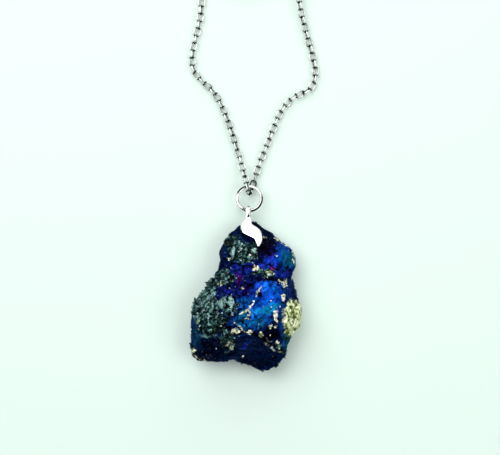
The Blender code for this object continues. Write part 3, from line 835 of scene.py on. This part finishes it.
def chain_lines():
    """The chain's two halves, each from the jump ring, along the table and round the coil to the clasp."""
    _, on_chain = ring_heights()
    wire_y = on_table(*RING_CENTRE_PX)[1] + RING_RADIUS
    clear = CHAIN_WIDTH / 2 + CHAIN_ROOM + RING_WIRE
    start_x, _ = on_table(WRAP_LEFT_PX, 0)
    end_x, _ = on_table(WRAP_RIGHT_PX, 0)
    wrap = []
    for step in range(WRAP_STEPS + 1):
        share = step / WRAP_STEPS
        turn = math.radians(90 - 180 * share)
        x = start_x + (end_x - start_x) * share
        wrap.append((x, wire_y - clear * math.cos(turn), on_chain + clear * math.sin(turn)))
    left = [(*on_table(px, py), height * MM) for px, py, height in LEFT_STRAND]
    right = [(*on_table(px, py), height * MM) for px, py, height in RIGHT_STRAND]
    to_ring = spiral(*LEFT_COIL)[::-1] + left + wrap
    line = smooth_curve(to_ring + right + spiral(*RIGHT_COIL), ROUTE_STEPS)
    at_ring = (len(to_ring) - 1) * ROUTE_STEPS
    return line[at_ring::-1], line[at_ring:]


def add_chain(material):
    """The chain's two halves, each of real links, in place of the hidden CAD chain."""
    rng = np.random.default_rng(CHAIN_SEED)
    left_line, right_line = chain_lines()
    centres, tangents = even_points(left_line[:0:-1] + right_line, LINK_PITCH)
    split = 2 * round(line_length(left_line) / LINK_PITCH / 2)
    chain_left = make_chain("chain_left", centres[:split], tangents[:split], left_line[0], material, rng)
    chain_right = make_chain("chain_right", centres[split:], tangents[split:], left_line[0], material, rng)
    for chain in (chain_left, chain_right):
        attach(chain, "root")
    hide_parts("chain_strands", "chain_coil")


# Jump ring and bail

def closed_tube(name, rows, verts, sides):
    """A mesh of rows of points, each once round, with both its ends filled."""
    mesh = mesh_from(name, verts, loops_to_faces(rows, sides, closed=False))
    bm = bmesh.new()
    bm.from_mesh(mesh)
    bmesh.ops.holes_fill(bm, edges=[edge for edge in bm.edges if edge.is_boundary], sides=0)
    bmesh.ops.recalc_face_normals(bm, faces=bm.faces)
    bm.to_mesh(mesh)
    bm.free()
    return mesh


def ring_painted_shade(turns, around):
    """The painted shade on the jump ring's wire at each point: dark reflections in two arcs, and shade at
    its split.
    """
    degrees = np.degrees(turns + math.pi) % 360 - 180
    dark = np.zeros((len(turns), len(around)))
    outside, inside = RING_REFLECTION_FADE
    for start, end, least_out in RING_DARK_REFLECTIONS:
        along = steps(degrees, start - outside, start + inside) * steps(degrees, end + outside, end - inside)
        out = steps(np.cos(around), least_out - RING_REFLECTION_SOFTNESS, least_out + RING_REFLECTION_SOFTNESS)
        dark = np.maximum(dark, np.outer(along, out))
    from_split = np.minimum(turns - turns[0], turns[-1] - turns)
    return np.maximum(dark, steps(from_split, *RING_SPLIT_SHADE)[:, None])


def ring_mesh():
    """The jump ring about Z: round wire whose ends almost meet at its split."""
    opening = RING_SPLIT / RING_RADIUS
    turns = RING_SPLIT_ANGLE + opening / 2 + np.linspace(0, 2 * math.pi - opening, RING_ROWS)
    around = np.linspace(0, 2 * math.pi, RING_SIDES, endpoint=False)
    out = RING_RADIUS + RING_WIRE * np.cos(around)
    verts = np.stack([
        np.cos(turns)[:, None] * out,
        np.sin(turns)[:, None] * out,
        np.broadcast_to(RING_WIRE * np.sin(around), (RING_ROWS, RING_SIDES)),
    ], axis=2).reshape(-1, 3)
    mesh = closed_tube("ring_wire", RING_ROWS, verts, RING_SIDES)
    # Painted dark reflections and painted shade on the wire.
    set_attribute(mesh, "painted_shade", ring_painted_shade(turns, around).reshape(-1))
    return mesh


def add_jump_ring(material):
    in_bail, on_chain = ring_heights()
    ring = new_object("ring_wire", ring_mesh(), material)
    ring.rotation_euler = (math.asin((on_chain - in_bail) / (2 * RING_RADIUS)), 0, 0)
    ring.location = (*on_table(*RING_CENTRE_PX), (in_bail + on_chain) / 2)
    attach(ring, "root")
    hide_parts("jump_ring")


def bail_stations():
    """The bail's strip seen from the side, front tip to back tip: place, height, and left and right edge."""
    rows = [
        (on_table(0, row)[1], on_table(left, 0)[0], on_table(right, 0)[0])
        for row, left, right in BAIL_LEAF_PX
    ]
    leaf = smooth_curve(rows, BAIL_LEAF_STEPS)
    in_bail, _ = ring_heights()
    bend = RING_WIRE + BAIL_EYE_ROOM + BAIL_SHEET / 2
    neck_y, tip_y = leaf[0][0], leaf[-1][0]
    middle = (leaf[0][1] + leaf[0][2]) / 2
    half_neck = (leaf[0][2] - leaf[0][1]) / 2
    eye_y = on_table(*RING_CENTRE_PX)[1] - RING_RADIUS

    def leaf_height(y, neck, tip):
        return neck + (tip - neck) * (y - neck_y) / (tip_y - neck_y)

    stations = [(y, leaf_height(y, in_bail + bend, BAIL_FRONT_TIP), l, r) for y, l, r in reversed(leaf)]
    for step in range(1, BAIL_BEND_STEPS):
        turn = math.radians(90 - 180 * step / BAIL_BEND_STEPS)
        height = in_bail + bend * math.sin(turn)
        stations.append((eye_y + bend * math.cos(turn), height, middle - half_neck, middle + half_neck))
    return stations + [(y, leaf_height(y, in_bail - bend, BAIL_BACK_TIP), l, r) for y, l, r in leaf]


def rod(place, radii):
    """A closed upright rod, as a bmesh, with its middle at a place and its half sizes given."""
    bm = bmesh.new()
    bmesh.ops.create_cone(bm, cap_ends=True, segments=24, radius1=1, radius2=1, depth=2)
    bmesh.ops.scale(bm, vec=radii, verts=bm.verts)
    bmesh.ops.translate(bm, vec=place, verts=bm.verts)
    return bm


def drill(obj, place, radii):
    """Cuts an upright oval hole into an object's mesh."""
    cutter = new_object("drill", mesh_of(rod(place, radii), "drill"))
    obj.modifiers.new("drill", "BOOLEAN").object = cutter
    bpy.context.view_layer.update()
    cut = modified_mesh(obj)
    obj.modifiers.clear()
    cut.name = obj.data.name
    obj.data = cut
    bpy.data.objects.remove(cutter)


def add_pegs(mesh, stations):
    """The two pegs that reach from the bail's leaves into the hole through the stone."""
    x, y = on_table(*BAIL_PEG_PX)
    half = len(stations) // 2
    size = (BAIL_PEG_RADIUS, BAIL_PEG_RADIUS, BAIL_PEG_LENGTH / 2)
    bm = bmesh.new()
    bm.from_mesh(mesh)
    for leaf, into in ((stations[:half], -1), (stations[half:], 1)):
        height = min(leaf, key=lambda station: abs(station[0] - y))[1]
        peg = rod((x, y, height + into * BAIL_PEG_LENGTH / 2), size)
        bm.from_mesh(mesh_of(peg, "peg"))
    bm.to_mesh(mesh)
    bm.free()


def add_bail(material):
    """The strip of sheet with rounded edges, bent over the ring."""
    stations = bail_stations()
    line = np.array([(y, z) for y, z, _, _ in stations])
    along = np.gradient(line, axis=0)
    along /= np.linalg.norm(along, axis=1, keepdims=True)
    around = np.linspace(0, 2 * math.pi, BAIL_SIDES, endpoint=False)
    across, thick = (
        np.sign(wave) * np.abs(wave) ** power
        for wave, power in zip((np.cos(around), np.sin(around)), BAIL_ROUNDNESS)
    )
    verts = []
    for (y, z, left, right), (along_y, along_z) in zip(stations, along):
        middle, half = (left + right) / 2, (right - left) / 2
        out_y, out_z = -along_z, along_y
        for a, t in zip(across, thick):
            offset = t * BAIL_SHEET / 2
            verts.append((middle + half * a, y + out_y * offset, z + out_z * offset))
    bail = new_object("bail_sheet", closed_tube("bail_sheet", len(stations), verts, BAIL_SIDES), material)
    in_bail, _ = ring_heights()
    hole_x, hole_y = on_table(*BAIL_HOLE_PX)
    drill(bail, (hole_x, hole_y, in_bail + BAIL_DRILL_REACH), (*BAIL_HOLE_RADII, BAIL_DRILL_REACH))
    add_pegs(bail.data, stations)
    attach(bail, "root")
    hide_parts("bail")


# Stone

def noise_field(points, size, seed=0):
    """Smooth noise at each point, from about -1 to 1."""
    offset = Vector(NOISE_SHIFT) * seed
    return np.array([noise.noise(point / size + offset) for point in points])


def cell_field(points, size):
    """Broken cells: each point's distance to its cell's middle and edge, and the cell's tilt and shade."""
    rows = np.empty((len(points), 4))
    one = Vector((1, 1, 1))
    for row, point in zip(rows, points):
        place = point / size
        distances, middles = noise.voronoi(place)
        random = noise.cell_vector(middles[0] * 7)
        tilt = (place - middles[0]).dot(2 * random - one)
        row[:] = distances[0], distances[1] - distances[0], tilt, random.x
    return rows.T


def noise_around(points, middle, reach, size, seed):
    """Smooth noise at each point about a middle value."""
    return middle + reach * noise_field(points, size, seed)


def patches_of(points, size, seed, start, end):
    """Patches of noise, from 0 outside them to 1 in them."""
    return steps(noise_field(points, size, seed), start, end)


def spot_share(pixels, spots, edge=PLACE_EDGE):
    """How far each pixel is inside one of some oval spots, from 0 to 1."""
    px, py = pixels
    share = np.zeros(len(px))
    for x, y, half_width, half_height, *_ in spots:
        reach = np.hypot((px - x) / half_width, (py - y) / half_height)
        share = np.maximum(share, steps(reach, *edge))
    return share


def spot_blend(pixels, spots, rest, rest_weight, sharpness):
    """The last values of the spots, blended at each pixel by how near each spot is."""
    px, py = pixels
    weights = np.full(len(px), rest_weight)
    sums = [weights * value for value in rest]
    for x, y, half_width, half_height, *values in spots:
        reach = np.hypot((px - x) / half_width, (py - y) / half_height)
        weight = np.exp(-np.minimum(sharpness * reach ** 2, 30))
        weights = weights + weight
        sums = [total + weight * value for total, value in zip(sums, values)]
    return [total / weights for total in sums]


def crust_light(pixels):
    """How light the crust is at each pixel."""
    return spot_blend(
        pixels, CRUST_PX, CRUST_LIGHT_REST, CRUST_LIGHT_REST_WEIGHT, CRUST_LIGHT_SHARPNESS,
    )[0]


def signed_distance(pixels, line):
    """Distance of each pixel from a line of pixels, above 0 on its left as it runs, with y upwards."""
    px, py = pixels
    nearest = np.full(len(px), 1e9)
    signed = np.zeros(len(px))
    for (x0, y0), (x1, y1) in zip(line, line[1:]):
        along_x, along_y = x1 - x0, y1 - y0
        length = math.hypot(along_x, along_y)
        share = np.clip(((px - x0) * along_x + (py - y0) * along_y) / length ** 2, 0, 1)
        away = np.hypot(px - x0 - share * along_x, py - y0 - share * along_y)
        side = np.where(along_y * (px - x0) - along_x * (py - y0) > 0, 1.0, -1.0)
        signed = np.where(away < nearest, away * side, signed)
        nearest = np.minimum(nearest, away)
    return signed


def read_mesh(mesh):
    """A mesh's points and their normals as arrays."""
    co = np.empty(len(mesh.vertices) * 3, np.float32)
    mesh.vertices.foreach_get("co", co)
    normals = np.empty(len(mesh.vertices) * 3, np.float32)
    mesh.vertex_normals.foreach_get("vector", normals)
    return co.reshape(-1, 3).astype(float), normals.reshape(-1, 3).astype(float)


def fine_stone():
    """The stone's solid, softened and remeshed fine enough for its small relief."""
    bm = bmesh.new()
    bm.from_mesh(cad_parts["stone"].data)
    bmesh.ops.remove_doubles(bm, verts=bm.verts, dist=0.001 * MM)
    source = new_object("stone_source", mesh_of(bm, "stone_source"))
    source.modifiers.new("rounding", "SUBSURF").levels = 1
    even = source.modifiers.new("even", "REMESH")
    even.mode = "VOXEL"
    even.voxel_size = STONE_GRID
    soften = source.modifiers.new("soften", "SMOOTH")
    soften.factor = 0.5
    soften.iterations = STONE_SOFTENING
    fine = modified_mesh(source)
    bpy.data.objects.remove(source)
    return fine


def search_tree(mesh):
    verts = [vert.co for vert in mesh.vertices]
    return BVHTree.FromPolygons(verts, [face.vertices for face in mesh.polygons])


def near_bail(points):
    """How much relief is left near the bail: 0 on it, 1 well away."""
    tree = search_tree(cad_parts["bail"].data)
    distances = np.array([tree.find_nearest(point, BAIL_CLEAR)[3] or BAIL_CLEAR for point in points])
    return np.minimum(distances / BAIL_CLEAR, 1.0)


def blurred(values, mesh):
    """Values at a mesh's points, each averaged with its neighbours again and again."""
    edges = np.empty(len(mesh.edges) * 2, np.int32)
    mesh.edges.foreach_get("vertices", edges)
    start, end = edges.reshape(-1, 2).T
    count = len(values)
    neighbours = np.bincount(edges, minlength=count)
    for _ in range(BLUR_ROUNDS):
        total = np.bincount(start, values[end], count) + np.bincount(end, values[start], count)
        values = total / neighbours
    return values


def warped_pixels(co, points):
    """The pixel over each point, moved at random for the soft places, and a little for the lines."""
    warps = [
        [reach * noise_field(points, size, seed + first) for first in WARP_SEEDS]
        for seed, (size, reach) in enumerate(WARPS)
    ]
    pixels = pixels_over(co)
    places = [pixel + sum(warp[axis] for warp in warps) for axis, pixel in enumerate(pixels)]
    lines = [pixel + LINE_WARP * (warps[1][axis] + warps[2][axis]) for axis, pixel in enumerate(pixels)]
    return places, lines


def gold_share(points, lines):
    """How much gold there is at each point: in its patches and along its veins, broken up."""
    gold = spot_share(lines, GOLD_PX)
    for veins, share in ((VEINS_PX + RIM_VEINS_PX, 1.0), (DIM_VEINS_PX, DIM_VEIN_SHARE)):
        for vein in veins:
            away = np.abs(signed_distance(lines, vein))
            gold = np.maximum(gold, share * steps(away, *VEIN_EDGE_PX))
    return gold * patches_of(points, *GOLD_BREAKS)


def stone_zones(co, normals, points, places, lines):
    """How much of each kind of ground there is at each point, from 0 to 1."""
    front = steps(normals[:, 2], *FRONT_TILT) * steps(co[:, 2], *FRONT_HEIGHT)
    pale = spot_share(places, PALE_PX)
    back_crust = patches_of(points, *BACK_CRUST) * (1 - front)
    crust = np.maximum(spot_share(places, CRUST_PX) * front, back_crust)
    crust *= (1 - pale) * patches_of(points, *CRUST_HOLES)
    return {
        "front": front,
        "crust": crust,
        "pale": pale,
        "even": spot_share(places, EVEN_PX, EVEN_EDGE) * front * (1 - crust),
        "vug": spot_share(places, VUG_PX, VUG_EDGE) * front,
        "gold": gold_share(points, lines) * front,
    }


def crust_ground(points):
    """The crust's relief of tilted and stepped cells, and how light each cell is."""
    relief = 0
    tone = noise_around(points, *CRUST_TONE)
    for size, contrast in CRUST_CELLS:
        _, _, tilt, shade = cell_field(points, size)
        relief += CRUST_TILT * size * tilt + CRUST_STEP * size * (shade - 0.5)
        tone += contrast * (shade - 0.5)
    return relief, tone


def chipped_ground(points, even):
    """Broken facets with creases between them, lower where the ground is even, on a soft ripple."""
    relief = 0
    for size in CHIP_CELLS:
        _, edge, tilt, _ = cell_field(points, size)
        relief += CHIP_TILT * size * tilt * np.minimum(edge / CREASE, 1)
    return relief * (1 - (1 - EVEN_RELIEF) * even) + noise_around(points, *RIPPLE)


def pale_ground(points):
    """Rounded grains, some higher than others."""
    from_middle, _, _, shade = cell_field(points, PALE_CELLS)
    return PALE_HEIGHT * (0.5 - from_middle) + PALE_STEP * (shade - 0.5)


def ledges(lines):
    """Ground that stands out beside the broken edges and drops on their other side."""
    relief = 0
    for ledge, height, reach in LEDGES_PX:
        away = signed_distance(lines, ledge) * PIXEL
        fall = np.where(away > 0, np.exp(-away / reach), -LEDGE_DROP * np.exp(away / reach))
        relief += height * fall * np.clip(np.abs(away) / LEDGE_EDGE, 0, 1)
    return relief


def stone_relief(points, normals, zones, lines):
    """How far out each point of the stone moves, and how light its crust cell is."""
    crust, pale = zones["crust"], zones["pale"]
    relief, tone = crust_ground(points)
    relief = crust * relief + pale * pale_ground(points)
    relief += (1 - crust) * (1 - pale) * chipped_ground(points, zones["even"])
    relief += GOLD_HEIGHT * zones["gold"] + CRUST_HEIGHT * crust - VUG_DEPTH * zones["vug"]
    relief += zones["front"] * ledges(lines)
    sideways = steps(np.abs(normals[:, 2]), *SIDE_TILT)
    return relief * (1 - (1 - SIDE_RELIEF) * sideways) * near_bail(points), tone


def stone_looks(points, places, zones, tone, hollow):
    """What the stone's material reads at each point, by name."""
    front, pale = zones["front"], zones["pale"]
    # The brightness holds painted shade on the rims, the facets facing down, below a ledge, under the bail
    # and in the vug.
    film, brightness_and_shade = spot_blend(places, TARNISH_AND_SHADE.values(), TARNISH_REST, TARNISH_REST_WEIGHT, TARNISH_SHARPNESS)
    back_glow = np.clip(noise_around(points, *BACK_GLOW), BACK_GLOW_LEAST, 1)
    light = crust_light(places) * front + CRUST_LIGHT_REST[0] * (1 - front)
    light = np.where(pale > 0.5, noise_around(points, *PALE_TONE), light)
    # Painted light on the ridges and painted shade in the hollows, in the tone.
    ridge_light = np.clip(-hollow / RIDGE_HEIGHT, -RIDGE_LIGHT_LIMIT, RIDGE_LIGHT_LIMIT)
    # Painted shade in the hollows and the vugs.
    cavity_shade = steps(hollow, 0.0, CAVITY_SHADE_DEPTH) * (1 - PALE_SHADE_LOSS * pale)
    return {
        "film": film * front + noise_around(points, *BACK_FILM) * (1 - front),
        "brightness_and_shade": brightness_and_shade * front + back_glow * (1 - front),
        "crust": zones["crust"],
        "pale": pale,
        "gold": zones["gold"],
        "cavity_shade": np.maximum(cavity_shade, VUG_SHADE * zones["vug"]),
        "tone": np.clip(tone + light - 0.5 + ridge_light, 0, 1),
    }


def shape_stone(mesh):
    """Raises the relief on the fine mesh and keeps its looks there; gives its crust and its pale lump."""
    co, normals = read_mesh(mesh)
    points = [Vector(row) for row in co]
    places, lines = warped_pixels(co, points)
    zones = stone_zones(co, normals, points, places, lines)
    relief, tone = stone_relief(points, normals, zones, lines)
    co += normals * relief[:, None]
    co[:, 2] = np.clip(co[:, 2], 0, TOP_LIMIT)
    mesh.vertices.foreach_set("co", co.astype(np.float32).ravel())
    mesh.polygons.foreach_set("use_smooth", [True] * len(mesh.polygons))
    mesh.update()
    hollow = blurred(relief, mesh) - relief
    for name, values in stone_looks(points, places, zones, tone, hollow).items():
        set_attribute(mesh, name, values)
    return zones["crust"], zones["pale"]


def shard_templates(rng):
    """Points and faces of some angular shards, each the hull of a few points on a ball."""
    templates = []
    for _ in range(SHARD_KINDS):
        bm = bmesh.new()
        for point in rng.normal(size=(SHARD_POINTS, 3)):
            bm.verts.new(point / np.linalg.norm(point))
        bmesh.ops.convex_hull(bm, input=bm.verts[:])
        bmesh.ops.delete(bm, geom=[vert for vert in bm.verts if not vert.link_faces], context="VERTS")
        bm.verts.index_update()
        verts = np.array([vert.co for vert in bm.verts])
        faces = [[vert.index for vert in face.verts] for face in bm.faces]
        templates.append((verts, np.array(faces)))
        bm.free()
    return templates


def random_turn(rng):
    """A random rotation, as a matrix."""
    return np.array(Quaternion(rng.normal(size=4)).normalized().to_matrix())


def make_grains(name, places, sizes, tones, rng):
    """Angular grains of one piece, each a shard pressed, turned and placed at random."""
    templates = shard_templates(rng)
    verts, faces, point_tones = [], [], []
    count = 0
    for place, size, tone in zip(places, sizes, tones):
        template, template_faces = templates[rng.integers(SHARD_KINDS)]
        pressed = template @ random_turn(rng) * rng.uniform(*GRAIN_PRESS, 3)
        verts.append(pressed @ random_turn(rng) * size + place)
        faces.append(template_faces + count)
        point_tones.append(np.full(len(template), tone))
        count += len(template)
    verts = np.concatenate(verts)
    verts[:, 2] = np.minimum(verts[:, 2], TOP_LIMIT)
    mesh = mesh_from(name, verts, np.concatenate(faces), smooth=False)
    set_attribute(mesh, "tone", np.concatenate(point_tones))
    grains = new_object(name, mesh, grain_material(name))
    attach(grains, "root")


def scatter(mesh, share, spacing, rng, keep):
    """Random points and their normals, more where the share is high, no two nearer than the spacing."""
    co, normals = read_mesh(mesh)
    order = rng.permutation(np.flatnonzero(share > rng.uniform(*SCATTER_LIMITS, len(share))))
    taken = {}
    picked = []
    for index in order:
        cell = tuple(np.floor(co[index] / spacing).astype(int))
        near = [
            other
            for x in (-1, 0, 1) for y in (-1, 0, 1) for z in (-1, 0, 1)
            for other in taken.get((cell[0] + x, cell[1] + y, cell[2] + z), ())
        ]
        if any(np.sum((co[index] - co[other]) ** 2) < spacing ** 2 for other in near):
            continue
        taken.setdefault(cell, []).append(index)
        picked.append(index)
    picked = np.array(picked)[rng.uniform(size=len(picked)) < keep]
    return co[picked], normals[picked]


def cover_with_grains(name, mesh, share, rng):
    """Grains all over a zone of the stone, as GRAIN_COVER says."""
    cover = GRAIN_COVER[name]
    places, normals = scatter(mesh, share, cover["spacing"], rng, cover["keep"])
    sizes = cover["least"] + cover["growth"] * rng.beta(*cover["spread"], len(places))
    tones = cover["light"] * crust_light(pixels_over(places))
    tones += noise_around([Vector(place) for place in places], *cover["tone"])
    tones += rng.normal(scale=cover["tone_spread"], size=len(places))
    make_grains(name, places - normals * cover["sunk"], sizes, np.clip(tones, 0, 1), rng)


def on_stone(tree, px, py):
    """The place on the stone's front under a pixel, or None beside the stone."""
    place, _, _, _ = tree.ray_cast(Vector((*on_table(px, py), CAMERA_HEIGHT)), Vector((0, 0, -1)))
    return place


def gold_places(tree, rng):
    """Places and sizes of the gold grains: in their patches and along their veins."""
    places, sizes = [], []
    for x, y, half_width, half_height, count in GOLD_PX:
        for _ in range(count):
            angle = rng.uniform(0, 2 * math.pi)
            reach = math.sqrt(rng.uniform())
            px = x + half_width * reach * math.cos(angle)
            py = y + half_height * reach * math.sin(angle)
            places.append(on_stone(tree, px, py))
            sizes.append(rng.uniform(*GOLD_SIZES))
    for veins, size in VEIN_GRAINS:
        for vein in veins:
            line = smooth_curve([(*pixel, 0) for pixel in vein], VEIN_STEPS)
            for px, py, _ in even_points(line, VEIN_SPACING_PX)[0]:
                jitter_x, jitter_y = rng.normal(scale=VEIN_JITTER_PX, size=2)
                places.append(on_stone(tree, px + jitter_x, py + jitter_y))
                sizes.append(size * rng.uniform(*VEIN_GRAIN_SPREAD))
    found = [index for index, place in enumerate(places) if place is not None]
    return np.array([places[index] for index in found]), np.array([sizes[index] for index in found])


def add_stone():
    """The stone's body, and its crystals: of the crust, of the pale lump, gold ones and glints."""
    rng = np.random.default_rng(STONE_SEED)
    mesh = fine_stone()
    mesh.name = "stone_body"
    crust, pale = shape_stone(mesh)
    stone = new_object("stone_body", mesh, ore_material())
    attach(stone, "root")
    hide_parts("stone")
    co, _ = read_mesh(mesh)
    clear = near_bail([Vector(row) for row in co]) > GRAIN_BAIL_ROOM
    above = co[:, 2] > GRAIN_FLOOR
    cover_with_grains("crust_grains", mesh, crust * clear * above, rng)
    cover_with_grains("pale_grains", mesh, pale * above, rng)
    tree = search_tree(mesh)
    places, sizes = gold_places(tree, rng)
    make_grains("gold_grains", places, sizes, rng.beta(*GOLD_TONES, len(places)), rng)
    # Small white crystals as painted highlights.
    places = np.array([on_stone(tree, *pixel) for pixel in GLINTS_PX])
    sizes = rng.uniform(*GLINT_SIZES, len(places))
    make_grains("glints", places, sizes, rng.uniform(size=len(places)), rng)


def main():
    place_camera()
    light_stage()
    make_floor()
    silver = silver_material("silver", *SILVER)
    add_chain(silver_material("chain_silver", *CHAIN_SILVER))
    add_jump_ring(silver)
    add_bail(silver_material("bail_silver", *SILVER, hole=on_table(*BAIL_HOLE_PX)))
    add_stone()
    for name in ("clasp", "clasp_ring"):
        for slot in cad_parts[name].material_slots:
            slot.material = silver


main()
